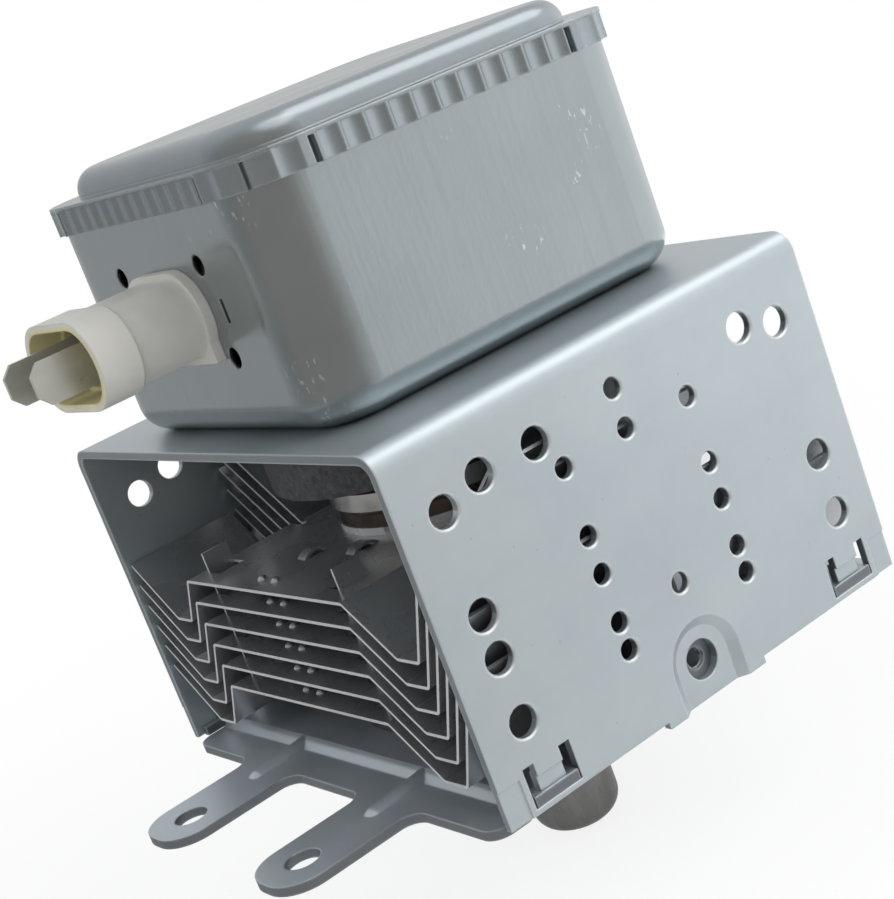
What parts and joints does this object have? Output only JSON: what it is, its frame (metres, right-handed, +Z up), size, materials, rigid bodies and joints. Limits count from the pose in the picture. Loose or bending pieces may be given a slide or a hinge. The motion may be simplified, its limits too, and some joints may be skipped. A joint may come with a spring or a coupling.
{
  "type": "microwave oven magnetron",
  "caption": "Microwave-oven magnetron: finned tube in a folded steel yoke on a mounting plate with ears, filter box with terminal socket on top, capped antenna below.",
  "frame": {"origin": "on the antenna axis, in the plane of the mounting ears' undersides", "axes": "+Z up along the tube from antenna to filter box, -Y to the open front and the terminal socket, +X to the right-hand side plate"},
  "size_m": [0.0944, 0.1278, 0.1293],
  "materials": {
    "yoke_steel": "galvanised, satin",
    "base_steel": "galvanised, satin",
    "box_steel": "galvanised, satin",
    "cover_steel": "galvanised, satin",
    "fin_aluminium": "satin",
    "ferrite": "matt, granular",
    "bright_steel": "bright",
    "soft_iron": "satin",
    "copper": "satin",
    "hot_wire": "matt",
    "alumina": "matt",
    "cap_steel": "satin",
    "wire_mesh": "woven wire",
    "ivory_plastic": "satin",
    "casting_resin": "matt",
    "tab_metal": "tinned, satin",
    "copper_wire": "enamelled"
  },
  "bodies": {
    "root": {"yoke_frame": "yoke_steel", "base_plate": "base_steel", "rf_gasket": "wire_mesh", "upper_magnet": "ferrite", "lower_magnet": "ferrite", "anode_block": "copper", "strap_ring_upper_outer": "copper", "strap_ring_upper_inner": "copper", "strap_ring_lower_outer": "copper", "strap_ring_lower_inner": "copper", "upper_pole_piece": "soft_iron", "lower_pole_piece": "soft_iron", "upper_seal_cup": "bright_steel", "lower_seal_cup": "bright_steel", "cathode_filament": "hot_wire", "upper_end_hat": "hot_wire", "lower_end_hat": "hot_wire", "center_lead": "hot_wire", "side_lead": "hot_wire", "stem_ceramic": "alumina", "center_terminal": "tab_metal", "side_terminal": "tab_metal", "antenna_lead": "copper", "exhaust_tube": "copper", "antenna_ceramic": "alumina", "antenna_cap": "cap_steel", "fin_1": "fin_aluminium", "fin_2": "fin_aluminium", "fin_3": "fin_aluminium", "fin_4": "fin_aluminium", "fin_5": "fin_aluminium", "fin_6": "fin_aluminium", "filter_box": "box_steel", "filter_cover": "cover_steel", "connector_shell": "ivory_plastic", "capacitor_body": "casting_resin", "terminal_tab_left": "tab_metal", "terminal_tab_right": "tab_metal", "choke_coil_left": "copper_wire", "choke_coil_right": "copper_wire", "ferrite_core_left": "ferrite", "ferrite_core_right": "ferrite"}
  },
  "joints": []
}
